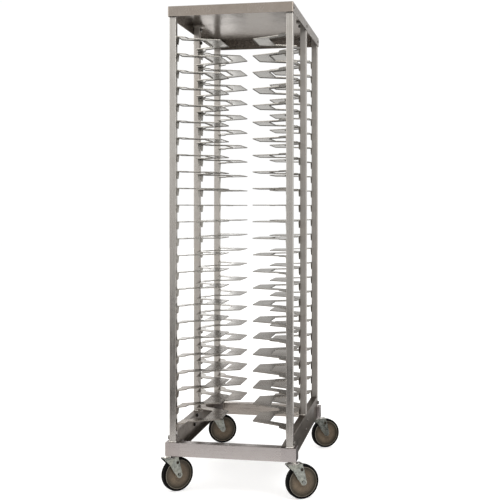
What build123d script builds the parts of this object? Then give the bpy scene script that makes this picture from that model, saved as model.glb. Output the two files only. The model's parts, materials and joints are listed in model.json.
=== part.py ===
from build123d import *
import math
import os

os.makedirs("parts", exist_ok=True)

# ---------------------------------------------------------------- sizes, mm
# +X is the rack's right, +Y its rear, +Z up; z = 0 is the floor.
# The rack is drawn about its own middle. Every part is then set down with the
# frame's origin under the middle of the whole footprint, casters as they stand.
FOOT_X = 30.0
FOOT_Y = 16.0

# uprights
RACK_W = 470.0          # over the outer faces of the posts
RACK_D = 762.0          # over the front and rear faces of the corner posts
POST = 25.4             # square tube
POST_WALL = 1.6
POST_CORNER = 2.4

# base frame
BASE_W = 497.0
BASE_D = 785.0
BASE_BOTTOM = 138.0
BASE_H = 50.8
BASE_TOP = BASE_BOTTOM + BASE_H
BLOCK = 57.0            # corner block, square in plan
BLOCK_WALL = 3.0
RAIL_DEPTH = 40.0       # front and rear rails, front to back
RAIL_WALL = 2.0
BASE_CORNER = 1.5
SIDE_TOP = 231.0        # top of the side channels
SIDE_WALL = 2.5

# cover
COVER_W = 476.0
COVER_D = 785.0
COVER_TOP = 1827.0
COVER_FLANGE = 38.0
COVER_SHEET = 1.5
COVER_ROW = COVER_TOP - 18.0
PAD = 40.0              # pad on a middle post, under the cover
PAD_T = 6.0

# slides
LEVELS = 24
PITCH = 63.5
LOWEST_LEVEL = 256.0
SHEET = 1.8             # slide sheet
WING_TIP_X = 62.5       # half the clear gap between facing wings
WING_CUT_X = 127.0      # post side of the cross bar
WING_EAR_X = 178.0      # where the arms widen into ears
WING_MID_Y = 191.0      # middle of a bay
WING_HALF = 188.0       # half the wing's length along Y
TIP_HALF = 78.0
NECK_HALF = 137.0       # arm's outer edge where the ear starts
CUT_HALF_IN = 68.0      # cut-out beside the cross bar
CUT_HALF_OUT = 108.0    # cut-out at the posts
EAR_HALF_IN = 164.0
TAB_W = 41.0
TAB_DROP = 30.0
LIP_DROP = 5.0

# hardware
BOLT_D = 8.0
BOLT_AF = 13.0
BOLT_HEAD = 5.3
WASHER_D = 17.0
WASHER_T = 1.6
NUT_H = 6.5
LOW_HEAD_D = 13.0
LOW_HEAD_T = 2.4

# casters
CASTER_X = 236.0
CASTER_Y = 380.0
TRAIL = 35.0
WHEEL_R = 63.5
TREAD_T = 9.0
TREAD_W = 26.0
CORE_W = 23.5
HUB_W = 30.4
HUB_R = 17.0
AXLE_D = 9.5
AXLE_AF = 11.5
LEG_END_R = 11.8        # round end of a fork leg, about the axle
LEG_HOLE_R = 6.2        # lightening hole high in a fork leg
AXLE_FIT = 0.06         # radial running clearance
LEG_IN = 15.5           # inner face of a fork leg from the wheel's mid plane
LEG_T = 3.0
CROWN_TOP = 131.5
CROWN_T = 2.7
CUP_H = 4.4             # race cup, below the crown's top
CUP_IN = 13.0
PIN_D = 16.0
PIN_FIT = 0.06
RACE_D = 46.0
SWIVEL = {
    "front_left": 44.0,
    "front_right": 32.0,
    "rear_left": 20.0,
    "rear_right": 31.0,
}

POST_CX = RACK_W / 2 - POST / 2
POST_CY = RACK_D / 2 - POST / 2
POST_IN = RACK_W / 2 - POST
SIDES = {"left": -1, "right": 1}
ENDS = {"front": -1, "rear": 1}


def save(builder, name):
    builder.part.locate(Location((-FOOT_X, -FOOT_Y, 0)))
    builder.part.label = name
    export_step(builder.part, "parts/" + name + ".step")


# ---------------------------------------------------------------- uprights

def bolt_heights(row):
    """Heights of the bolts that pass through a post."""
    if row == "mid":
        return [COVER_TOP - 73.0, COVER_ROW]
    return [BASE_TOP + 15.0, COVER_ROW]


def make_post(side, row):
    sx = SIDES[side]
    cy = {"front": -POST_CY, "mid": 0.0, "rear": POST_CY}[row]
    foot = SIDE_TOP if row == "mid" else BASE_TOP
    head = COVER_TOP - COVER_SHEET
    with BuildPart() as post:
        with BuildSketch(Plane.XY.offset(foot)):
            with Locations((sx * POST_CX, cy)):
                RectangleRounded(POST, POST, POST_CORNER)
                inner = POST - 2 * POST_WALL
                RectangleRounded(inner, inner, POST_CORNER - POST_WALL, mode=Mode.SUBTRACT)
        extrude(amount=head - foot)
        if row == "mid":
            with Locations((sx * (RACK_W / 2 - PAD / 2), 0, head - PAD_T / 2)):
                Box(PAD, PAD, PAD_T)
        for z in bolt_heights(row):
            with BuildSketch(Plane.YZ.offset(sx * POST_CX)):
                with Locations((cy, z)):
                    Circle(BOLT_D / 2)
            extrude(amount=POST, both=True, mode=Mode.SUBTRACT)
    save(post, row + "_" + side + "_post")


# ---------------------------------------------------------------- base frame

def make_cross_rail(end):
    sy = ENDS[end]
    length = BASE_W - 2 * BLOCK
    cy = sy * (BASE_D / 2 - RAIL_DEPTH / 2)
    with BuildPart() as rail:
        with BuildSketch(Plane.YZ.offset(-length / 2)):
            with Locations((cy, BASE_BOTTOM + BASE_H / 2)):
                RectangleRounded(RAIL_DEPTH, BASE_H, BASE_CORNER)
                RectangleRounded(RAIL_DEPTH - 2 * RAIL_WALL, BASE_H - 2 * RAIL_WALL, 1.0,
                                 mode=Mode.SUBTRACT)
        extrude(amount=length)
    save(rail, end + "_rail")


def make_side_rail(side):
    sx = SIDES[side]
    reach = RACK_D / 2 - POST
    height = SIDE_TOP - BASE_BOTTOM
    block_in = BASE_D / 2 - BLOCK
    with BuildPart() as rail:
        with BuildSketch(Plane.XZ.offset(-reach)):
            with Locations((sx * (RACK_W / 2 - POST / 2), BASE_BOTTOM + height / 2)):
                Rectangle(POST, height)
            with Locations((sx * (RACK_W / 2 - POST / 2 - SIDE_WALL), BASE_BOTTOM + height / 2)):
                Rectangle(POST, height - 2 * SIDE_WALL, mode=Mode.SUBTRACT)
        extrude(amount=2 * reach)
        long_edges = rail.edges().filter_by(Axis.Y)
        outer = [e for e in long_edges if abs(abs(e.center().X) - RACK_W / 2) < 0.1]
        fillet(outer, radius=2.0)
        # the lower part stops at the corner blocks
        for sy in (-1, 1):
            with Locations((sx * POST_CX, sy * (block_in + 20.0), BASE_TOP - 40.0)):
                Box(POST + 2, 40.0, 80.0, mode=Mode.SUBTRACT)
        for y, z in side_bolts():
            with BuildSketch(Plane.YZ.offset(sx * POST_CX)):
                with Locations((y, z)):
                    Circle(BOLT_D / 2)
            extrude(amount=POST, both=True, mode=Mode.SUBTRACT)
    save(rail, side + "_side_rail")


def side_bolts():
    """Bolts through the web of a side channel, as (y, z)."""
    return [(32.0, 201.0), (-13.0, 172.0)]


def on_outside(edge):
    """True for the edges of a corner block that lie in the outline of the base."""
    middle = edge.center()
    on_side = abs(abs(middle.X) - BASE_W / 2) < 0.01
    on_end = abs(abs(middle.Y) - BASE_D / 2) < 0.01
    level = abs(middle.Z - BASE_BOTTOM - BASE_H / 2) > 1.0
    return (on_side and on_end) or (level and (on_side or on_end))


def make_corner_block(side, end):
    sx = SIDES[side]
    sy = ENDS[end]
    cx = sx * (BASE_W / 2 - BLOCK / 2)
    cy = sy * (BASE_D / 2 - BLOCK / 2)
    inner = BLOCK - 2 * BLOCK_WALL
    with BuildPart() as block:
        with BuildSketch(Plane.XY.offset(BASE_BOTTOM)):
            with Locations((cx, cy)):
                Rectangle(BLOCK, BLOCK)
        extrude(amount=BASE_H)
        # only the two outer faces have rounded edges; the others meet the rails
        open_edges = block.edges().filter_by(lambda e: on_outside(e))
        fillet(open_edges, radius=BASE_CORNER)
        # hollow between the bottom plate and the top plate
        with BuildSketch(Plane.XY.offset(BASE_BOTTOM + BLOCK_WALL)):
            with Locations((cx, cy)):
                RectangleRounded(inner, inner, 2.0)
        extrude(amount=BASE_H - 2 * BLOCK_WALL, mode=Mode.SUBTRACT)
        # socket for the caster stem
        with BuildSketch(Plane.XY.offset(BASE_BOTTOM)):
            with Locations((sx * CASTER_X, sy * CASTER_Y)):
                Circle(PIN_D / 2 + 3.0)
        extrude(amount=BASE_H - 0.5)
        with BuildSketch(Plane.XY.offset(BASE_BOTTOM)):
            with Locations((sx * CASTER_X, sy * CASTER_Y)):
                Circle(PIN_D / 2)
        extrude(amount=BASE_H - 2 * BLOCK_WALL, mode=Mode.SUBTRACT)
    save(block, end + "_" + side + "_corner_block")


def make_gussets():
    width = POST_IN - (BASE_W / 2 - BLOCK)
    with BuildPart() as gussets:
        for sx in (-1, 1):
            for sy in (-1, 1):
                face = sy * (RACK_D / 2 - 2.5)
                with BuildSketch(Plane.XZ.offset(-face)):
                    with BuildLine():
                        Polyline((sx * POST_IN, BASE_TOP),
                                 (sx * (POST_IN - width), BASE_TOP),
                                 (sx * (POST_IN - width), BASE_TOP + 3.0),
                                 (sx * (POST_IN - 3.0), BASE_TOP + 30.0),
                                 (sx * POST_IN, BASE_TOP + 30.0),
                                 close=True)
                    make_face()
                extrude(amount=1.5, both=True)
    save(gussets, "corner_gussets")


# ---------------------------------------------------------------- cover

def make_cover():
    bottom = COVER_TOP - COVER_FLANGE
    with BuildPart() as cover:
        with BuildSketch(Plane.XY.offset(bottom)):
            RectangleRounded(COVER_W, COVER_D, 4.0)
        extrude(amount=COVER_FLANGE)
        fillet(cover.edges().group_by(Axis.Z)[-1], radius=2.2)
        with BuildSketch(Plane.XY.offset(bottom)):
            RectangleRounded(COVER_W - 2 * COVER_SHEET, COVER_D - 2 * COVER_SHEET, 2.5)
        extrude(amount=COVER_FLANGE - COVER_SHEET, mode=Mode.SUBTRACT)
        for y in (-POST_CY, 0.0, POST_CY):
            with BuildSketch(Plane.YZ):
                with Locations((y, COVER_ROW)):
                    Circle(BOLT_D / 2)
            extrude(amount=COVER_W, both=True, mode=Mode.SUBTRACT)
    save(cover, "top_cover")


# ---------------------------------------------------------------- slides

def wing_outline(sx, sy):
    """Plan outline of one wing slide, post side last."""
    def pt(x, half):
        return (sx * x, sy * (WING_MID_Y + half))

    edge = POST_IN
    return [
        pt(WING_TIP_X, -TIP_HALF),
        pt(WING_TIP_X, TIP_HALF),
        pt(WING_EAR_X - 4.0, NECK_HALF - 2.0),
        pt(WING_EAR_X + 1.0, EAR_HALF_IN),
        pt(edge - 5.0, WING_HALF),
        pt(edge, WING_HALF),
        pt(edge, WING_HALF - TAB_W),
        pt(edge - 3.0, WING_HALF - TAB_W - 3.0),
        pt(edge - 3.0, CUT_HALF_OUT),
        pt(WING_CUT_X, CUT_HALF_IN),
        pt(WING_CUT_X, -CUT_HALF_IN),
        pt(edge - 3.0, -CUT_HALF_OUT),
        pt(edge - 3.0, -(WING_HALF - TAB_W - 3.0)),
        pt(edge, -(WING_HALF - TAB_W)),
        pt(edge, -WING_HALF),
        pt(edge - 5.0, -WING_HALF),
        pt(WING_EAR_X + 1.0, -EAR_HALF_IN),
        pt(WING_EAR_X - 4.0, -(NECK_HALF - 2.0)),
    ]


def tab_outline(middle, z):
    """A tab in the post's inner face, as (y, z) points."""
    half = TAB_W / 2
    return [
        (middle - half, z),
        (middle + half, z),
        (middle + half, z - 8.0),
        (middle + half / 2, z - TAB_DROP),
        (middle - half / 2, z - TAB_DROP),
        (middle - half, z - 8.0),
    ]


def corners_at(vertices, x, reach):
    return [v for v in vertices if abs(abs(v.X) - x) < reach]


def make_slide_level(level):
    z = LOWEST_LEVEL + (LEVELS - level) * PITCH + SHEET / 2
    wings = [(sx, sy) for sx in (-1, 1) for sy in (-1, 1)]
    with BuildPart() as slide:
        with BuildSketch(Plane.XY.offset(z - SHEET)) as flat:
            for sx, sy in wings:
                with BuildLine():
                    Polyline(*wing_outline(sx, sy), close=True)
                make_face()
            fillet(corners_at(flat.vertices(), WING_EAR_X, 6.0), radius=5.0)
            fillet(corners_at(flat.vertices(), WING_TIP_X, 0.1), radius=4.0)
            fillet(corners_at(flat.vertices(), WING_CUT_X, 0.1), radius=4.0)
        extrude(amount=SHEET)
        # tabs folded down onto the posts
        for sx, sy in wings:
            for end in (-1, 1):
                middle = sy * (WING_MID_Y + end * (WING_HALF - TAB_W / 2))
                with BuildSketch(Plane.YZ.offset(sx * POST_IN)):
                    with BuildLine():
                        Polyline(*tab_outline(middle, z), close=True)
                    make_face()
                extrude(amount=-sx * SHEET)
            # stiffening lip folded down beside the cut-out
            with Locations((sx * (WING_CUT_X - SHEET / 2), sy * WING_MID_Y, z - LIP_DROP / 2)):
                Box(SHEET, 2 * CUT_HALF_IN - 10.0, LIP_DROP)
    save(slide, "slide_level_" + str(level).zfill(2))


# ---------------------------------------------------------------- bolts and nuts

def hex_places():
    """Hexagon bolts through the feet of the corner posts, as (side, y, z)."""
    places = []
    for sx in (-1, 1):
        for row, y in (("front", -POST_CY), ("rear", POST_CY)):
            places.append((sx, y, bolt_heights(row)[0]))
    return places


def low_places():
    """Low round-headed bolts, as (side, y, z, outer face, inner face)."""
    places = []
    for sx in (-1, 1):
        for y in (-POST_CY, 0.0, POST_CY):
            places.append((sx, y, COVER_ROW, COVER_W / 2, POST_IN))
        places.append((sx, 0.0, bolt_heights("mid")[0], RACK_W / 2, POST_IN))
        for y, z in side_bolts():
            places.append((sx, y, z, RACK_W / 2, RACK_W / 2 - SIDE_WALL))
    return places


def make_hex_bolts():
    with BuildPart() as bolts:
        for sx, y, z in hex_places():
            outer = RACK_W / 2
            with BuildSketch(Plane.YZ.offset(sx * outer)):
                with Locations((y, z)):
                    Circle(WASHER_D / 2)
            extrude(amount=sx * WASHER_T)
            with BuildSketch(Plane.YZ.offset(sx * (outer + WASHER_T))):
                with Locations((y, z)):
                    RegularPolygon(BOLT_AF / 2, 6, major_radius=False)
            extrude(amount=sx * BOLT_HEAD)
            with BuildSketch(Plane.YZ.offset(sx * (outer + WASHER_T))):
                with Locations((y, z)):
                    Circle(BOLT_D / 2)
            extrude(amount=-sx * (POST + WASHER_T + NUT_H + 2.0))
    save(bolts, "hex_bolts")


def make_low_bolts():
    with BuildPart() as bolts:
        for sx, y, z, outer, inner in low_places():
            with BuildSketch(Plane.YZ.offset(sx * outer)):
                with Locations((y, z)):
                    Circle(LOW_HEAD_D / 2)
            extrude(amount=sx * LOW_HEAD_T, taper=30)
            with BuildSketch(Plane.YZ.offset(sx * (outer + 0.5))):
                with Locations((y, z)):
                    Circle(BOLT_D / 2)
            extrude(amount=-sx * (outer + 0.5 - inner + NUT_H + 2.0))
    save(bolts, "low_head_bolts")


def make_nuts():
    places = [(sx, y, z, POST_IN) for sx, y, z in hex_places()]
    places += [(sx, y, z, inner) for sx, y, z, outer, inner in low_places()]
    with BuildPart() as nuts:
        for sx, y, z, inner in places:
            with BuildSketch(Plane.YZ.offset(sx * inner)):
                with Locations((y, z)):
                    RegularPolygon(BOLT_AF / 2, 6, major_radius=False)
                    Circle(BOLT_D / 2, mode=Mode.SUBTRACT)
            extrude(amount=-sx * NUT_H)
    save(nuts, "hex_nuts")


# ---------------------------------------------------------------- casters

def caster_frame(name):
    """Planes of one caster: the wheel's mid plane, seen with s to the trail and z up."""
    side = name.split("_")[1]
    end = name.split("_")[0]
    psi = math.radians(SWIVEL[name])
    trail = Vector(math.cos(psi), math.sin(psi), 0)
    ax = SIDES[side] * CASTER_X
    ay = ENDS[end] * CASTER_Y
    wheel_plane = Plane(origin=(ax, ay, 0), x_dir=trail, z_dir=(math.sin(psi), -math.cos(psi), 0))
    floor_plane = Plane(origin=(ax, ay, 0), x_dir=trail, z_dir=(0, 0, 1))
    hub = Plane(origin=(ax + TRAIL * trail.X, ay + TRAIL * trail.Y, WHEEL_R),
                x_dir=trail, z_dir=(math.sin(psi), -math.cos(psi), 0))
    return wheel_plane, floor_plane, hub


def make_stems():
    with BuildPart() as stems:
        for sx in (-1, 1):
            for sy in (-1, 1):
                spin = Plane(origin=(sx * CASTER_X, sy * CASTER_Y, 0), x_dir=(1, 0, 0),
                             z_dir=(0, -1, 0))
                pin = PIN_D / 2
                under = CROWN_TOP - CROWN_T
                with BuildSketch(spin):
                    with BuildLine():
                        Polyline((0, under - 4.0),
                                 (10.5, under - 4.0),
                                 (12.0, under - 2.6),
                                 (12.0, under - 0.3),
                                 (pin, under - 0.3),
                                 (pin, CROWN_TOP + 0.3),
                                 (RACE_D / 2, CROWN_TOP + 0.3),
                                 (RACE_D / 2, CROWN_TOP + 1.2),
                                 (RACE_D / 2 - 3.0, CROWN_TOP + 2.0),
                                 (11.0, CROWN_TOP + 2.0),
                                 (11.0, BASE_BOTTOM),
                                 (pin, BASE_BOTTOM),
                                 (pin, BASE_BOTTOM + 40.0),
                                 (pin - 1.5, BASE_BOTTOM + 42.0),
                                 (0, BASE_BOTTOM + 42.0),
                                 close=True)
                    make_face()
                revolve(axis=Axis((sx * CASTER_X, sy * CASTER_Y, 0), (0, 0, 1)))
    save(stems, "caster_stems")


def leg_outline():
    """One fork leg in the wheel's plane, s along the trail."""
    return [(-24, 130), (30, 130), (37, 106), (46.5, 66)], [(23, 62), (11, 77), (-5, 105), (-26, 126)]


def make_fork(name):
    wheel_plane, floor_plane, hub = caster_frame(name)
    with BuildPart() as fork:
        # crown
        with BuildSketch(floor_plane.offset(CROWN_TOP - CROWN_T)):
            Circle(RACE_D / 2 + 1.0)
            with Locations((4.5, 0)):
                RectangleRounded(59, 2 * (LEG_IN + LEG_T), 5)
            Circle(PIN_D / 2 + PIN_FIT, mode=Mode.SUBTRACT)
        extrude(amount=CROWN_T)
        # race cup pressed under the crown
        with BuildSketch(floor_plane.offset(CROWN_TOP - CUP_H)):
            Circle(RACE_D / 2 + 1.0)
            Circle(CUP_IN, mode=Mode.SUBTRACT)
        extrude(amount=CUP_H - CROWN_T + 0.1)
        # legs
        right, left = leg_outline()
        for face in (-1, 1):
            shift = LEG_IN if face > 0 else -(LEG_IN + LEG_T)
            with BuildSketch(wheel_plane.offset(shift)) as leg:
                with BuildLine():
                    Polyline(*right, (TRAIL, WHEEL_R), *left, close=True)
                make_face()
                with Locations((TRAIL, WHEEL_R)):
                    Circle(LEG_END_R)
                    Circle(AXLE_D / 2, mode=Mode.SUBTRACT)
                with Locations((27.5, 111)):
                    Circle(LEG_HOLE_R, mode=Mode.SUBTRACT)
            extrude(amount=LEG_T)
            # pressed groove down the leg
            groove = LEG_IN + LEG_T - 0.9 if face > 0 else -(LEG_IN + LEG_T)
            with BuildSketch(wheel_plane.offset(groove)):
                with Locations((14, 107)):
                    SlotOverall(38, 3.0, rotation=90)
            extrude(amount=0.9, mode=Mode.SUBTRACT)
    save(fork, name + "_caster_fork")


def make_axle(name):
    wheel_plane, floor_plane, hub = caster_frame(name)
    out = LEG_IN + LEG_T
    with BuildPart() as axle:
        with BuildSketch(hub.offset(-out - 8.0)):
            Circle(AXLE_D / 2)
        extrude(amount=2 * out + 8.0)
        with BuildSketch(hub.offset(out)):
            RegularPolygon(AXLE_AF / 2, 6, major_radius=False)
        extrude(amount=4.0)
        with BuildSketch(hub.offset(-out)):
            RegularPolygon(AXLE_AF / 2, 6, major_radius=False)
        extrude(amount=-6.0)
    save(axle, name + "_caster_axle")


def make_wheel_core(name):
    wheel_plane, floor_plane, hub = caster_frame(name)
    rim = WHEEL_R - TREAD_T
    spin_axis = Axis(hub.origin, hub.z_dir)
    section = Plane(origin=hub.origin, x_dir=(0, 0, 1), z_dir=hub.x_dir)
    hw = HUB_W / 2
    cw = CORE_W / 2
    bore = AXLE_D / 2 + AXLE_FIT
    with BuildPart() as core:
        with BuildSketch(section):
            with BuildLine():
                Polyline((bore, -hw),
                         (HUB_R - 2.0, -hw),
                         (HUB_R, -hw + 2.0),
                         (HUB_R + 2.0, -9.0),
                         (HUB_R + 8.0, -7.6),
                         (rim - 12.0, -8.4),
                         (rim - 6.2, -8.4),
                         (rim - 4.6, -cw),
                         (rim - 3.6, -cw - 0.7),
                         (rim - 1.4, -cw - 0.7),
                         (rim, -cw),
                         (rim, cw),
                         (rim - 1.4, cw + 0.7),
                         (rim - 3.6, cw + 0.7),
                         (rim - 4.6, cw),
                         (rim - 6.2, 8.4),
                         (rim - 12.0, 8.4),
                         (HUB_R + 8.0, 7.6),
                         (HUB_R + 2.0, 9.0),
                         (HUB_R, hw - 2.0),
                         (HUB_R - 2.0, hw),
                         (bore, hw),
                         close=True)
            make_face()
        revolve(axis=spin_axis)
    save(core, name + "_wheel_core")


def make_tread(name):
    wheel_plane, floor_plane, hub = caster_frame(name)
    rim = WHEEL_R - TREAD_T
    spin_axis = Axis(hub.origin, hub.z_dir)
    section = Plane(origin=hub.origin, x_dir=(0, 0, 1), z_dir=hub.x_dir)
    tw = TREAD_W / 2
    with BuildPart() as tread:
        with BuildSketch(section):
            with BuildLine():
                Polyline((rim, -CORE_W / 2),
                         (rim + 0.8, -tw),
                         (rim + 3.0, -tw),
                         (WHEEL_R - 0.7, -tw + 3.0),
                         (WHEEL_R, -tw + 6.0),
                         (WHEEL_R, tw - 6.0),
                         (WHEEL_R - 0.7, tw - 3.0),
                         (rim + 3.0, tw),
                         (rim + 0.8, tw),
                         (rim, CORE_W / 2),
                         close=True)
            make_face()
        revolve(axis=spin_axis)
    save(tread, name + "_wheel_tread")


# ---------------------------------------------------------------- build

for side in SIDES:
    for row in ("front", "mid", "rear"):
        make_post(side, row)
    make_side_rail(side)
    for end in ENDS:
        make_corner_block(side, end)

for end in ENDS:
    make_cross_rail(end)

make_gussets()
make_cover()

for level in range(1, LEVELS + 1):
    make_slide_level(level)

make_hex_bolts()
make_low_bolts()
make_nuts()
make_stems()

for caster in SWIVEL:
    make_fork(caster)
    make_axle(caster)
    make_wheel_core(caster)
    make_tread(caster)
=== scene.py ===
import json
import math

import bpy
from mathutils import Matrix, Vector


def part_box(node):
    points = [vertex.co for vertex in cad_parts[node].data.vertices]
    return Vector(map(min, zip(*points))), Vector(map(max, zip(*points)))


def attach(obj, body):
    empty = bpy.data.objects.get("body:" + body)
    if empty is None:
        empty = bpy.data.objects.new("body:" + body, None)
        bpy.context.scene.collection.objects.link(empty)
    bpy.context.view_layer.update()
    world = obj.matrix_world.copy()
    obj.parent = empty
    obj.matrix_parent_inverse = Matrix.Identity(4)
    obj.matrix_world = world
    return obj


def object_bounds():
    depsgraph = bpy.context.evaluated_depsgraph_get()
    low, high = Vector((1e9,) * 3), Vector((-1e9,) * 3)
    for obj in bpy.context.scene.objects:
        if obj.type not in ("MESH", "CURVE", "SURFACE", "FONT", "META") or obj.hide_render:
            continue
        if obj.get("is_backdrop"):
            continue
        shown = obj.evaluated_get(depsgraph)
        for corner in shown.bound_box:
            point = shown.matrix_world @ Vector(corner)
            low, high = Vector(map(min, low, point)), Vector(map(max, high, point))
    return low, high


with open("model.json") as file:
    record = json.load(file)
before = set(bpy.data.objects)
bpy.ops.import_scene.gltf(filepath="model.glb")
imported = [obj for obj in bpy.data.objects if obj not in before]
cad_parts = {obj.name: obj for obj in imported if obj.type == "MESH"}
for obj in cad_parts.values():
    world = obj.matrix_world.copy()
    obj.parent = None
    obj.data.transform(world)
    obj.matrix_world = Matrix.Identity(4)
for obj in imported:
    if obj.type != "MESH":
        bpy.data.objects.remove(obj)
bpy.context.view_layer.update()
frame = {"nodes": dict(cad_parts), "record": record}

NODES = frame["nodes"]
RECORD = frame["record"]
SCENE = bpy.context.scene

# everything is in metres unless its name says otherwise

# material recipes
FLOOR_SHADE_HEIGHTS = (0.92, 0.27)       # heights between which a sheet takes on its low tone, a painted shade that darkens it towards the floor
BRIGHTER = 1.25                 # an edge brightened by scuffing and by a painted edge highlight, against the light tone
SOIL = 0.38                     # dark soil on steel against the dark tone
ZINC_SOIL = 0.35                # the same on zinc plate
STEEL_TAN = (1.0, 0.93, 0.84)   # warm tint of handled steel
ZINC_TAN = (1.0, 0.96, 0.86)
BRUSH_DEPTH = 0.0004
HEAVE_DEPTH = 0.004             # slow waves in thin sheet

# stretch of the brush lines in X, Y and Z
ALONG_Z = (620.0, 620.0, 7.0)
ALONG_X = (7.0, 620.0, 620.0)
ALONG_Y = (620.0, 7.0, 620.0)
EVEN = (300.0, 260.0, 300.0)

# wheel
WHEEL_RADIUS = 0.0635
CHANNEL_SHADE = (0.52, 0.78, 0.832)   # the dish inside the rim, as parts of the wheel's radius, where a painted shade darkens the core
# the rim's painted highlight, as parts of the wheel's radius
RIM_HIGHLIGHT = (0.830, 0.842)

# welds
FOOT_BEAD = 0.0023              # bead radii
SEAM_BEAD = 0.0014
THIN_BEAD = 0.0012
RIPPLE = 0.0021                 # spacing of the ripples in a bead
GUSSET_INSET = 0.0032           # middle of a gusset from its outer face
MARK = 0.0023                   # radius of a spot-weld mark
MARK_RISE = 0.0004
MARK_DROPS = (0.009, 0.021)     # spot welds below the top of a slide
MARK_SIDE = 0.0085              # the same, from the middle of a middle post
SLIDE_SHEET = 0.0018
HEM = (0.0018, 0.0009)          # height and thickness

# camera
CAMERA_AT = (0.7106, -3.8242, 1.0728)
CAMERA_TURN_DEG = (90.0, 0.0, 10.996)
SENSOR_MM = 36.0
LENS_MM = 67.88
SHIFT_Y = -0.0857


# ------------------------------------------------------------------ materials

class Graph:
    """A small wrapper that keeps the material recipes readable."""

    def __init__(self, name):
        self.mat = bpy.data.materials.new(name)
        self.mat.use_nodes = True
        self.tree = self.mat.node_tree
        self.tree.nodes.clear()
        self.out = self.node("ShaderNodeOutputMaterial")
        self.bsdf = self.node("ShaderNodeBsdfPrincipled")
        self.link(self.bsdf.outputs[0], self.out.inputs["Surface"])
        self.coord = self.node("ShaderNodeTexCoord").outputs["Object"]

    def node(self, kind, **props):
        n = self.tree.nodes.new(kind)
        for k, v in props.items():
            setattr(n, k, v)
        return n

    def link(self, a, b):
        self.tree.links.new(a, b)

    def feed(self, **sockets):
        """Link outputs to the shader's own sockets."""
        for k, v in sockets.items():
            self.link(v, self.bsdf.inputs[k.replace("_", " ")])

    def value(self, **sockets):
        """Set constants on the shader's own sockets."""
        for k, v in sockets.items():
            self.bsdf.inputs[k.replace("_", " ")].default_value = v

    def noise(self, scale, detail=2.0, rough=0.5, distort=0.0, stretch=(1, 1, 1), shift=(0, 0, 0)):
        m = self.node("ShaderNodeMapping")
        m.inputs["Scale"].default_value = [scale * s for s in stretch]
        m.inputs["Location"].default_value = shift
        self.link(self.coord, m.inputs["Vector"])
        n = self.node("ShaderNodeTexNoise")
        n.inputs["Scale"].default_value = 1.0
        n.inputs["Detail"].default_value = detail
        n.inputs["Roughness"].default_value = rough
        n.inputs["Distortion"].default_value = distort
        self.link(m.outputs[0], n.inputs["Vector"])
        return n.outputs["Fac"]

    def ramp(self, fac, stops):
        """A colour ramp; a stop's colour may be one grey value."""
        r = self.node("ShaderNodeValToRGB")
        ramp = r.color_ramp
        while len(ramp.elements) < len(stops):
            ramp.elements.new(0.5)
        for e, (pos, col) in zip(ramp.elements, stops):
            e.position = pos
            e.color = (col, col, col, 1.0) if isinstance(col, (int, float)) else (*col, 1.0)
        self.link(fac, r.inputs["Fac"])
        return r.outputs["Color"]

    def span(self, fac, low, high, a=0.0, b=1.0, **props):
        """Map a to low and b to high."""
        m = self.node("ShaderNodeMapRange", **props)
        m.inputs["From Min"].default_value = a
        m.inputs["From Max"].default_value = b
        m.inputs["To Min"].default_value = low
        m.inputs["To Max"].default_value = high
        self.link(fac, m.inputs["Value"])
        return m.outputs["Result"]

    def math(self, op, a, b):
        m = self.node("ShaderNodeMath", operation=op)
        for i, v in enumerate((a, b)):
            if isinstance(v, (int, float)):
                m.inputs[i].default_value = v
            else:
                self.link(v, m.inputs[i])
        return m.outputs[0]

    def mix(self, fac, a, b):
        m = self.node("ShaderNodeMix", data_type="RGBA", blend_type="MIX")
        for key, v in ((0, fac), (6, a), (7, b)):
            if isinstance(v, (int, float)):
                m.inputs[key].default_value = v
            elif isinstance(v, tuple):
                m.inputs[key].default_value = (*v, 1.0)
            else:
                self.link(v, m.inputs[key])
        return m.outputs[2]

    def along_z(self, vector):
        sep = self.node("ShaderNodeSeparateXYZ")
        self.link(vector, sep.inputs[0])
        return sep.outputs["Z"]

    def geometry_normal(self):
        return self.node("ShaderNodeNewGeometry").outputs["Normal"]

    def height(self, high, low):
        """0 above the first height, 1 below the second."""
        return self.span(self.along_z(self.coord), 1.0, 0.0, low, high,
                         interpolation_type="SMOOTHSTEP")

    def facing_up(self):
        """1 on faces that look up, 0 on faces that look down."""
        return self.span(self.along_z(self.geometry_normal()), 0.0, 1.0, -0.3, 0.3)

    def rounded(self, radius, samples=4):
        b = self.node("ShaderNodeBevel", samples=samples)
        b.inputs["Radius"].default_value = radius
        return b.outputs[0]

    def edges(self, radius):
        """1 on an edge, 0 on a flat: the mask for scuffed edges and for a painted edge highlight."""
        dot = self.node("ShaderNodeVectorMath", operation="DOT_PRODUCT")
        self.link(self.rounded(radius), dot.inputs[0])
        self.link(self.geometry_normal(), dot.inputs[1])
        return self.span(dot.outputs["Value"], 1.0, 0.0, 0.80, 0.995)

    def radius(self, centre, axis):
        """Distance from an axle line."""
        arm = self.node("ShaderNodeVectorMath", operation="SUBTRACT")
        arm.inputs[1].default_value = centre
        self.link(self.coord, arm.inputs[0])
        turn = self.node("ShaderNodeVectorMath", operation="CROSS_PRODUCT")
        turn.inputs[1].default_value = axis
        self.link(arm.outputs[0], turn.inputs[0])
        reach = self.node("ShaderNodeVectorMath", operation="LENGTH")
        self.link(turn.outputs[0], reach.inputs[0])
        return reach.outputs["Value"]

    def bump(self, height, strength, distance, normal):
        b = self.node("ShaderNodeBump")
        b.inputs["Strength"].default_value = strength
        b.inputs["Distance"].default_value = distance
        self.link(height, b.inputs["Height"])
        self.link(normal, b.inputs["Normal"])
        return b.outputs[0]


def scaled(colour, factor):
    return tuple(c * factor for c in colour)


def tinted(colour, tint):
    return tuple(c * t for c, t in zip(colour, tint))


def brightened(colour):
    return tuple(min(1.0, c * BRIGHTER) for c in colour)


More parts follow.
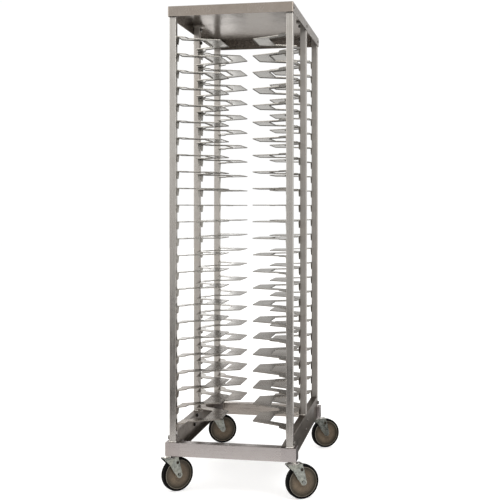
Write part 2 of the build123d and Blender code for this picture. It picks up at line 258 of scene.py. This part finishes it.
def steel(name, light, dark, grain, rough, mottle=7.0, waves=0.0, grain_depth=0.10, edge_wear_and_glint_weight=0.5,
          warm=0.35, edge=0.0012, low=None, grime=0.0, graze=0.7, streak=0.30,
          swell=(1, 1, 1), painted_underside_reflection=None):
    """Brushed or satin sheet steel. grain is the stretch of the brush lines in X, Y and Z.

    low is the colour the sheet takes on toward the floor, a painted shade; grime is how much dark soil
    sits on it;
    graze is what is left of the reflection at a flat angle, and the last argument gives the same on
    faces turned down, a painted reflection that sets how bright undersides look;
    streak is the weight of the broad bands.
    """
    g = Graph(name)
    grazing = (graze, graze, graze)
    g.value(Metallic=1.0, Specular_Tint=(*grazing, 1.0))
    # painted reflection: faces turned down get their own reflection strength, which sets how bright
    # undersides look
    if painted_underside_reflection is not None:
        g.feed(Specular_Tint=g.mix(g.facing_up(), (painted_underside_reflection, painted_underside_reflection, painted_underside_reflection), grazing))
    lines = g.noise(1.0, detail=3.0, rough=0.62, stretch=grain)
    broad = g.noise(0.22, detail=2.0, rough=0.5, stretch=grain, shift=(3.1, 7.7, 1.3))
    cloud = g.noise(mottle, detail=4.0, rough=0.55, distort=0.4)
    stain = g.noise(mottle * 0.37, detail=3.0, rough=0.5, distort=0.8, shift=(5.0, 2.0, 9.0))
    tone = g.math("ADD", g.math("MULTIPLY", lines, 0.34), g.math("MULTIPLY", broad, streak))
    tone = g.math("ADD", tone, g.math("MULTIPLY", cloud, 0.66 - streak))
    base = g.ramp(tone, [(0.34, dark), (0.66, light)])
    base = g.mix(g.span(stain, 0.0, warm, 0.48, 0.72), base, tinted(dark, STEEL_TAN))
    if low:
        # painted shade: the sheet darkens towards the floor, mottled by the cloud
        floor_shade = g.math("MULTIPLY", g.height(*FLOOR_SHADE_HEIGHTS), g.span(cloud, 0.55, 1.0, 0.35, 0.65))
        base = g.mix(floor_shade, base, low)
    if grime:
        soil = g.noise(mottle * 4.0, detail=5.0, rough=0.66, distort=0.9, shift=(2.0, 8.0, 4.0))
        base = g.mix(g.span(soil, 0.0, grime, 0.44, 0.68), base, scaled(dark, SOIL))
    # scuffing and a painted edge highlight: edges are brightened toward the light tone
    edge_wear_and_glint = g.math("MULTIPLY", g.edges(edge), edge_wear_and_glint_weight)
    base = g.mix(edge_wear_and_glint, base, brightened(light))
    haze = g.math("ADD", g.span(lines, *rough, 0.3, 0.7), g.span(cloud, -0.05, 0.06, 0.3, 0.7))
    haze = g.math("SUBTRACT", haze, g.math("MULTIPLY", edge_wear_and_glint, 0.08))
    normal = g.rounded(edge * 0.7)
    if waves:
        heave = g.noise(mottle * 0.9, detail=1.0, rough=0.4, distort=0.6, stretch=swell,
                        shift=(1.7, 4.4, 0.0))
        normal = g.bump(heave, waves, HEAVE_DEPTH, normal)
    normal = g.bump(lines, grain_depth, BRUSH_DEPTH, normal)
    g.feed(Base_Color=base, Roughness=haze, Normal=normal)
    return g.mat


def zinc(name, light, dark, rough, scale=60.0, edge_wear_and_glint_weight=0.5):
    """Bright zinc plate: a fine spangle, slight warm tints, duller in patches."""
    g = Graph(name)
    g.value(Metallic=1.0)
    spangle = g.noise(scale, detail=3.0, rough=0.6)
    patch = g.noise(scale * 0.25, detail=3.0, rough=0.5, distort=0.5, shift=(2.0, 3.0, 4.0))
    base = g.ramp(spangle, [(0.32, dark), (0.68, light)])
    base = g.mix(g.span(patch, 0.0, 0.5, 0.45, 0.7), base, tinted(light, ZINC_TAN))
    grime = g.noise(scale * 0.6, detail=4.0, rough=0.65, shift=(8.0, 1.0, 6.0))
    base = g.mix(g.span(grime, 0.0, 0.55, 0.60, 0.80), base, scaled(dark, ZINC_SOIL))
    # scuffing and a painted edge highlight: edges are brightened toward the light tone
    edge_wear_and_glint = g.math("MULTIPLY", g.edges(0.0009), edge_wear_and_glint_weight)
    base = g.mix(edge_wear_and_glint, base, brightened(light))
    haze = g.math("ADD", g.span(spangle, *rough, 0.3, 0.7), g.span(grime, 0.0, 0.2, 0.55, 0.8))
    g.feed(Base_Color=base, Roughness=haze, Normal=g.bump(spangle, 0.08, 0.0003, g.rounded(0.0007)))
    return g.mat


def wheel_core(wheel):
    """Moulded tan composite, with a painted shade in the channel inside its rim, a painted highlight on
    the rim itself, and edges brightened by scuffing and by a painted edge highlight.
    """
    g = Graph(wheel + "_core_look")
    joints = RECORD["behaviour"]["joints"]
    spin = next(j for j in joints if j["name"] == wheel + "_wheel_spin")
    reach = g.span(g.radius(spin["pos_m"], spin["axis"]), 0.0, 1.0, 0.0, WHEEL_RADIUS)
    g.value(Metallic=0.0, Specular_IOR_Level=0.30)
    flow = g.noise(34.0, detail=4.0, rough=0.6, distort=0.3)
    speck = g.noise(420.0, detail=2.0, rough=0.7)
    base = g.ramp(flow, [(0.30, (0.064, 0.046, 0.029)), (0.52, (0.092, 0.067, 0.043)),
                         (0.74, (0.126, 0.094, 0.062))])
    base = g.mix(g.span(speck, 0.0, 0.35, 0.55, 0.75), base, (0.30, 0.25, 0.19))
    # painted shade: the core darkens in the dish inside its rim
    inner, full, outer = CHANNEL_SHADE
    channel_shade = g.ramp(reach, [(inner, 0.0), (full, 0.85), (outer, 0.85), (RIM_HIGHLIGHT[1], 0.0)])
    base = g.mix(channel_shade, base, (0.018, 0.015, 0.008))
    # painted highlight: a pale ring on the rim
    rim = g.ramp(reach, [(RIM_HIGHLIGHT[0], 0.0), (RIM_HIGHLIGHT[1], 0.85)])
    rim = g.math("MULTIPLY", rim, g.span(flow, 0.4, 1.0, 0.35, 0.6))
    base = g.mix(rim, base, (0.25, 0.225, 0.185))
    # scuffing and a painted edge highlight lighten the core's edges
    edge_wear_and_glint = g.math("MULTIPLY", g.edges(0.0008), 0.15)
    base = g.mix(edge_wear_and_glint, base, (0.42, 0.39, 0.34))
    g.feed(Base_Color=base, Roughness=g.span(flow, 0.42, 0.62, 0.3, 0.7),
           Normal=g.bump(speck, 0.10, 0.0004, g.rounded(0.0008)))
    return g.mat


def rubber(name):
    """Black tread rubber, scuffed grey on its corners."""
    g = Graph(name)
    g.value(Metallic=0.0, Specular_IOR_Level=0.04)
    grit = g.noise(520.0, detail=3.0, rough=0.7)
    scuff = g.noise(45.0, detail=4.0, rough=0.6, distort=0.8)
    base = g.ramp(scuff, [(0.35, (0.0012, 0.0012, 0.0012)), (0.75, (0.0045, 0.0042, 0.0040))])
    base = g.mix(g.math("MULTIPLY", g.edges(0.0016), 0.20), base, (0.020, 0.019, 0.018))
    g.feed(Base_Color=base, Roughness=g.span(scuff, 0.50, 0.78, 0.3, 0.7),
           Normal=g.bump(grit, 0.18, 0.0005, g.rounded(0.0010)))
    return g.mat


def studio_matt(name, low, high, glow=0.0):
    """Matt board or floor: a faint haze between two greys, with an even glow if asked."""
    g = Graph(name)
    g.value(Metallic=0.0, Roughness=0.9, Specular_IOR_Level=0.1)
    if glow:
        g.value(Emission_Color=(1.0, 1.0, 1.0, 1.0), Emission_Strength=glow)
    haze = g.noise(1.3, detail=2.0)
    g.feed(Base_Color=g.ramp(haze, [(0.3, low), (0.7, high)]))
    return g.mat


def inner_post_painted_light(name, lift):
    """The middle and rear posts: the same tube, duller, with every tone scaled by lift, a painted light
    above 1 and a painted shade below 1.
    """
    light, dark, low = (scaled(tone, lift) for tone in (
        (0.50, 0.478, 0.452), (0.38, 0.358, 0.335), (0.37, 0.345, 0.322)))
    return steel(name, light, dark, ALONG_Z, (0.46, 0.58), low=low)


# the posts' low tone is a painted shade towards the floor
POST = steel("post_steel_look", (0.53, 0.512, 0.485), (0.39, 0.372, 0.35), ALONG_Z, (0.22, 0.34),
             low=(0.36, 0.335, 0.315))
# painted light and shade: the left inner posts are a lighter copy, the right ones a darker copy
POST_LEFT_LIT = inner_post_painted_light("inner_left_post_lit_look", 1.26)
POST_RIGHT_SHADED = inner_post_painted_light("inner_right_post_shaded_look", 0.95)
# painted reflection: faces turned down take a dimmer reflection than the top, which darkens the cover's
# underside
COVER = steel("cover_steel_look", (0.366, 0.330, 0.298), (0.252, 0.220, 0.192), EVEN, (0.18, 0.29),
              mottle=5.0, waves=1.0, graze=0.71, streak=0.16, swell=(1.6, 0.5, 1.6), painted_underside_reflection=0.60)
RAIL_X = steel("cross_rail_look", (0.420, 0.388, 0.378), (0.332, 0.302, 0.292), ALONG_X,
               (0.24, 0.34), streak=0.12)
# painted shade: the rear rail is a darker copy of the front rail's steel, shaded inside the rack
RAIL_BACK_SHADED = steel("rear_rail_shaded_look", (0.40, 0.362, 0.330), (0.26, 0.228, 0.202), ALONG_X,
                  (0.22, 0.32), streak=0.2)
# painted shade: the side rails' tones are far darker than the other base steel, for their shaded faces;
# the soil mottle over them is dirt
RAIL_Y_SHADED = steel("side_rail_shaded_look", (0.294, 0.262, 0.233), (0.114, 0.096, 0.083), ALONG_Y,
               (0.26, 0.42), warm=0.75, grime=0.6, mottle=17.0, graze=0.55, streak=0.18)
BLOCK = steel("block_look", (0.405, 0.372, 0.366), (0.305, 0.276, 0.270), EVEN, (0.26, 0.38),
              streak=0.1, graze=0.45)
# painted shade: the gussets' tones are set dark for the shade beside the post feet; the soil mottle over
# them is dirt
GUSSET_SHADED = steel("gusset_shaded_look", (0.20, 0.185, 0.17), (0.10, 0.088, 0.08), EVEN, (0.28, 0.42),
               grime=0.5)
# painted shade and reflection: the lower slides take the dark brown low tone, and faces turned down take
# a stronger reflection that lightens the undersides
SLIDE = steel("slide_look", (0.45, 0.435, 0.40), (0.315, 0.300, 0.270), EVEN, (0.18, 0.30),
              mottle=11.0, waves=0.12, low=(0.168, 0.138, 0.112), graze=0.55, streak=0.1,
              painted_underside_reflection=0.60)
# painted shade: the hem is the slide's own sheet painted darker, drawing a shaded line along every edge
SLIDE_HEM_SHADED = steel("slide_hem_shaded_look", (0.27, 0.255, 0.235), (0.15, 0.14, 0.126), EVEN, (0.30, 0.44),
                  graze=0.55)
WELD = zinc("weld_look", (0.46, 0.44, 0.41), (0.15, 0.13, 0.115), (0.22, 0.40), scale=140.0)
BOLT = zinc("bolt_look", (0.20, 0.19, 0.18), (0.08, 0.075, 0.07), (0.30, 0.46))
# painted highlight: the foot welds are near white for the bright line of light along the post feet
FOOT_WELD_HIGHLIGHT = zinc("foot_weld_highlight_look", (0.86, 0.85, 0.82), (0.52, 0.47, 0.42), (0.16, 0.30),
                 scale=140.0)
# painted reflection and shade: the race's near-white tone stands in for the bright reflection on top of
# the crown, its dark tone for the shadow under the block
RACE_GLINT_AND_SHADE = zinc("race_glint_and_shade_look", (0.78, 0.77, 0.75), (0.16, 0.155, 0.15), (0.14, 0.26), scale=110.0)
# the fork's dark tone is partly zinc and partly painted shade, for the dark shading on its top and round
# its outlines
FORK_SHADED = zinc("fork_shaded_look", (0.30, 0.31, 0.287), (0.105, 0.110, 0.100), (0.20, 0.34), scale=90.0)
AXLE = zinc("axle_look", (0.27, 0.275, 0.26), (0.070, 0.072, 0.066), (0.24, 0.36))
TREAD = rubber("wheel_tread_look")

# how a CAD node's name begins and ends, and its material; the first line that fits counts
LOOKS = (
    ("front_", "_post", POST),
    ("", "_left_post", POST_LEFT_LIT),
    ("", "_right_post", POST_RIGHT_SHADED),
    ("top_cover", "", COVER),
    ("front_rail", "", RAIL_X),
    ("rear_rail", "", RAIL_BACK_SHADED),
    ("", "_side_rail", RAIL_Y_SHADED),
    ("", "_corner_block", BLOCK),
    ("corner_gussets", "", GUSSET_SHADED),
    ("slide_level_", "", SLIDE),
    ("hex_", "", BOLT),
    ("low_head_bolts", "", BOLT),
    ("caster_stems", "", RACE_GLINT_AND_SHADE),
    ("", "_caster_fork", FORK_SHADED),
    ("", "_caster_axle", AXLE),
    ("", "_wheel_tread", TREAD),
)


def look_of(name):
    if name.endswith("_wheel_core"):
        return wheel_core(name.removesuffix("_wheel_core"))
    return next(mat for start, end, mat in LOOKS if name.startswith(start) and name.endswith(end))


for node_name, node in NODES.items():
    node.data.materials.clear()
    node.data.materials.append(look_of(node_name))


# ------------------------------------------------------------------ welds, marks and hems

def piece(name, verts, faces, mat, slot, smooth=True):
    """Add a mesh that rides on the rack."""
    mesh = bpy.data.meshes.new(name)
    mesh.from_pydata([tuple(v) for v in verts], [], faces)
    mesh.update()
    if smooth:
        for poly in mesh.polygons:
            poly.use_smooth = True
    mesh.materials.append(mat)
    obj = bpy.data.objects.new(name, mesh)
    SCENE.collection.objects.link(obj)
    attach(obj, "rack")


def middle_of(node):
    lo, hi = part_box(node)
    return (lo + hi) / 2


def nodes_ending(end):
    return [name for name in NODES if name.endswith(end)]


def slides():
    return [name for name in NODES if name.startswith("slide_level_")]


def way(a, b):
    """1 where a lies beyond b, otherwise -1."""
    return 1.0 if a > b else -1.0


def along(points, step, closed):
    """Evenly spaced points with their tangents along a polyline."""
    pts = [Vector(p) for p in points]
    if closed:
        pts.append(pts[0])
    out = []
    for a, b in zip(pts, pts[1:]):
        count = max(1, round((b - a).length / step))
        for i in range(count):
            out.append((a.lerp(b, i / count), (b - a).normalized()))
    if not closed:
        out.append((pts[-1], (pts[-1] - pts[-2]).normalized()))
    return out


class Rings:
    """Rings of points gathered into one mesh, with bands of quads between them."""

    def __init__(self):
        self.verts = []
        self.faces = []

    def ring(self, points):
        first = len(self.verts)
        self.verts.extend(points)
        return list(range(first, len(self.verts)))

    def band(self, a, b, outward=True):
        for k in range(len(a)):
            m = (k + 1) % len(a)
            quad = (a[k], a[m], b[m], b[k])
            self.faces.append(quad if outward else tuple(reversed(quad)))

    def cap(self, ring, outward=True):
        self.faces.append(tuple(ring) if outward else tuple(reversed(ring)))


def circle(sides):
    """Cosine and sine of evenly spaced directions."""
    for k in range(sides):
        a = 2.0 * math.pi * k / sides
        yield math.cos(a), math.sin(a)


class Beads(Rings):
    """Rippled weld beads."""

    STEPS = 4           # rings in one ripple
    SIDES = 8

    def lay(self, points, radius, up=(0, 0, 1), closed=False):
        rings = []
        up = Vector(up)
        for i, (p, t) in enumerate(along(points, RIPPLE / self.STEPS, closed)):
            phase = 2.0 * math.pi * (i % self.STEPS) / self.STEPS
            wander = 0.10 * math.sin(i * 0.37) + 0.06 * math.sin(i * 0.113 + 1.0)
            r = radius * (1.0 + 0.11 * math.cos(phase) + wander)
            side = t.cross(up).normalized()
            lift = side.cross(t).normalized()
            rings.append(self.ring([p + side * (r * c) + lift * (r * s)
                                    for c, s in circle(self.SIDES)]))
        pairs = list(zip(rings, rings[1:]))
        if closed:
            pairs.append((rings[-1], rings[0]))
        for a, b in pairs:
            self.band(a, b)
        if not closed:
            self.cap(rings[0], outward=False)
            self.cap(rings[-1])


class Spots(Rings):
    """Shallow spot-weld marks."""

    SIDES = 12
    PROFILE = ((1.0, 0.0), (0.80, 1.0), (0.55, 0.9), (0.30, 0.2))   # parts of radius and rise

    def press(self, place, face):
        """A ring-shaped mark with a dished middle on a face whose outward way along X is given."""
        x, y, z = place
        rings = [self.ring([(x + face * MARK_RISE * h, y + MARK * r * c, z + MARK * r * s)
                            for c, s in circle(self.SIDES)]) for r, h in self.PROFILE]
        for a, b in zip(rings, rings[1:]):
            self.band(a, b, face > 0)
        self.cap(rings[-1], face > 0)


def weld_feet(beads):
    """A bead round the foot of each corner post, and along two sides of a middle one."""
    inset, short, raised = 0.0004, 0.001, 0.0003
    for name in nodes_ending("_post"):
        lo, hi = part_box(name)
        z = lo.z + raised
        if name.startswith("mid"):
            for y in (lo.y, hi.y):
                beads.lay([(lo.x + short, y, z), (hi.x - short, y, z)], FOOT_BEAD)
        else:
            x0, y0, x1, y1 = lo.x + inset, lo.y + inset, hi.x - inset, hi.y - inset
            beads.lay([(x0, y0, z), (x1, y0, z), (x1, y1, z), (x0, y1, z)], FOOT_BEAD, closed=True)


def weld_gussets(beads):
    """A bead up each corner post and along the block, beside its gusset."""
    start, rise, run = 0.001, 0.028, 0.017
    lo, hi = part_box("corner_gussets")
    middle = middle_of("corner_gussets")
    for name in nodes_ending("_post"):
        if name.startswith("mid"):
            continue
        post = middle_of(name)
        post_lo, post_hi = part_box(name)
        side, end = way(post.x, middle.x), way(post.y, middle.y)
        x = post_lo.x if side > 0 else post_hi.x
        y = (hi.y if end > 0 else lo.y) - end * GUSSET_INSET
        foot = post_lo.z
        beads.lay([(x, y, foot + start), (x, y, foot + rise)], THIN_BEAD, up=(0, 1, 0))
        beads.lay([(x, y, foot), (x - side * run, y, foot)], THIN_BEAD)


def weld_base(beads):
    """Beads where the rails meet the corner blocks, on the inner sides and on top."""
    for name in nodes_ending("_corner_block"):
        lo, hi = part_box(name)
        rail = name.split("_")[0] + "_rail"
        rail_lo, rail_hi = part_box(rail)
        side = way(middle_of(name).x, middle_of(rail).x)
        rear = name.startswith("rear")
        x = lo.x if side > 0 else hi.x
        y = rail_lo.y if rear else rail_hi.y
        beads.lay([(x, y, lo.z + 0.002), (x, y, hi.z - 0.002)], SEAM_BEAD, up=(0, 1, 0))
        z = hi.z - 0.0004
        beads.lay([(x, rail_lo.y + 0.004, z), (x, rail_hi.y - 0.004, z)], THIN_BEAD)
        y = lo.y if rear else hi.y
        z = hi.z - 0.0008
        beads.lay([(lo.x + 0.012, y, z), (hi.x - 0.014, y, z)], SEAM_BEAD)


def spot_tabs(spots):
    """Two marks on every tab where it lies against its post, four on a middle post."""
    posts = [middle_of(n) for n in nodes_ending("_post")]
    for name in slides():
        lo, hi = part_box(name)
        middle = middle_of(name)
        for post in posts:
            side = way(post.x, middle.x)
            x = (hi.x if side > 0 else lo.x) - side * SLIDE_SHEET
            if abs(post.y - middle.y) > 0.1:
                rows = [post.y + way(post.y, middle.y) * 0.001]
            else:
                rows = [post.y - MARK_SIDE, post.y + MARK_SIDE]
            for y in rows:
                for drop in MARK_DROPS:
                    spots.press((x, y, hi.z - drop), -side)


def hem_slides():
    """A narrow hem folded down along the outline of every slide sheet, found from the sheet's sides."""
    height, thick = HEM
    drop = Vector((0.0, 0.0, -height))
    verts = []
    faces = []
    for name in slides():
        mesh = NODES[name].data
        sheet_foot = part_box(name)[1].z - 0.0025
        for poly in mesh.polygons:
            corners = [mesh.vertices[i].co for i in poly.vertices]
            low = min(c.z for c in corners)
            foot = [c for c in corners if c.z - low < 0.0002]
            if abs(poly.normal.z) > 0.1 or low < sheet_foot or len(foot) != 2:
                continue
            inward = Vector((poly.normal.x, poly.normal.y, 0.0)).normalized() * -thick
            a, b = foot
            if (b - a).cross(drop).dot(poly.normal) < 0:
                a, b = b, a
            n = len(verts)
            outer = [a, b, b + drop, a + drop]
            verts += outer + [c + inward for c in (a, b, b + drop, a + drop)]
            faces += [(n, n + 1, n + 2, n + 3), (n + 3, n + 2, n + 6, n + 7),
                      (n + 5, n + 4, n + 7, n + 6)]
    return verts, faces


feet = Beads()
weld_feet(feet)
piece("foot_welds", feet.verts, feet.faces, FOOT_WELD_HIGHLIGHT, "post_steel")
seams = Beads()
weld_gussets(seams)
weld_base(seams)
piece("weld_beads", seams.verts, seams.faces, WELD, "post_steel")
piece("slide_hems", *hem_slides(), SLIDE_HEM_SHADED, "slide_steel", smooth=False)
marks = Spots()
spot_tabs(marks)
piece("spot_weld_marks", marks.verts, marks.faces, WELD, "slide_steel")


# ------------------------------------------------------------------ studio

def board(name, mat, size, **place):
    bpy.ops.mesh.primitive_plane_add(size=size, **place)
    obj = bpy.context.object
    obj.name = name
    obj.data.materials.append(mat)
    obj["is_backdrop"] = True
    return obj


def flag(name, place, size, tone, turn=(0.0, 0.0, 0.0)):
    """A grey studio flag that is only seen in reflections."""
    mat = studio_matt(name + "_look", tone * 0.88, tone * 1.12)
    card = board(name, mat, 1.0, location=place, rotation=turn)
    card.scale = (*size, 1.0)
    card.visible_camera = False
    card.visible_diffuse = False
    card.visible_shadow = False


board("studio_floor", studio_matt("studio_floor_look", 0.69, 0.71, glow=0.50), 40.0,
      location=(0, 0, 0))

# dark floor from a metre in front of the rack, a strip close along its right side, and a standing
# card to the rear right that the cover's side mirrors
low_end, high_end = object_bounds()
JUST_ABOVE = 0.002
flag("studio_front_flag", (0, low_end[1] - 4.90, JUST_ABOVE), (9.0, 8.0), 0.12)
flag("studio_side_flag", (high_end[0] + 0.30, high_end[1], JUST_ABOVE), (0.70, 1.3), 0.22)
flag("studio_rear_flag", (high_end[0] + 0.35, high_end[1] + 1.8, 2.15), (0.62, 1.0), 0.62,
     (math.pi / 2, 0.0, 0.0))


class World:
    """White behind the rack; for everything else a soft sky that dims low down in front."""

    SEEN = 1.02
    BRIGHT, DIM = 1.12, 0.78
    RISE = (0.02, 0.22)         # the dimming fades out as the direction rises
    FRONT = (-0.9, -0.3)        # and as it turns away from the front
    WARM_WHITE = (1.0, 0.985, 0.965, 1.0)

    def __init__(self):
        world = bpy.data.worlds.new("studio_world")
        SCENE.world = world
        world.use_nodes = True
        self.tree = world.node_tree
        self.tree.nodes.clear()
        split = self.node("SeparateXYZ", self.node("TexCoord").outputs["Generated"])
        low = self.fade(split.outputs["Z"], self.RISE, 1.0, 0.0)
        front = self.fade(split.outputs["Y"], self.FRONT, 1.0, 0.0)
        both = self.node("Math", low, front)
        both.operation = "MULTIPLY"
        dimmed = self.fade(both.outputs[0], (0.0, 1.0), self.BRIGHT, self.DIM)
        sky = self.node("Background")
        sky.inputs["Color"].default_value = self.WARM_WHITE
        self.tree.links.new(dimmed, sky.inputs["Strength"])
        seen = self.node("Background")
        seen.inputs["Color"].default_value = (1.0, 1.0, 1.0, 1.0)
        seen.inputs["Strength"].default_value = self.SEEN
        ray = self.node("LightPath").outputs["Is Camera Ray"]
        mix = self.node("MixShader", ray, sky.outputs[0], seen.outputs[0])
        self.node("OutputWorld", mix.outputs[0])

    def node(self, kind, *sources):
        """A node with its first inputs linked."""
        n = self.tree.nodes.new("ShaderNode" + kind)
        for source, socket in zip(sources, n.inputs):
            self.tree.links.new(source, socket)
        return n

    def fade(self, source, limits, start, end):
        n = self.node("MapRange", source)
        n.inputs["From Min"].default_value, n.inputs["From Max"].default_value = limits
        n.inputs["To Min"].default_value = start
        n.inputs["To Max"].default_value = end
        return n.outputs["Result"]


World()


def softbox(name, place, target, size, power):
    data = bpy.data.lights.new(name, "AREA")
    data.shape = "RECTANGLE"
    data.size, data.size_y = size
    data.energy = power
    lamp = bpy.data.objects.new(name, data)
    SCENE.collection.objects.link(lamp)
    lamp.location = place
    aim = Vector(target) - Vector(place)
    lamp.rotation_euler = aim.to_track_quat("-Z", "Y").to_euler()
    lamp.visible_camera = False


softbox("key_light", (2.9, -2.4, 3.2), (0, 0, 0.9), (2.2, 2.2), 60.0)
softbox("fill_light", (-3.0, -2.0, 2.6), (0, 0, 0.9), (2.4, 2.4), 30.0)
softbox("rear_light", (-1.85, 4.2, 1.25), (-0.15, -0.2, 0.6), (1.7, 0.9), 9.0)


# ------------------------------------------------------------------ camera

camera_data = bpy.data.cameras.new("camera")
camera = bpy.data.objects.new("camera", camera_data)
SCENE.collection.objects.link(camera)
camera.location = CAMERA_AT
camera.rotation_euler = [math.radians(a) for a in CAMERA_TURN_DEG]
camera_data.sensor_width = SENSOR_MM
camera_data.lens = LENS_MM
camera_data.shift_y = SHIFT_Y
SCENE.camera = camera
SCENE.view_settings.view_transform = "Standard"
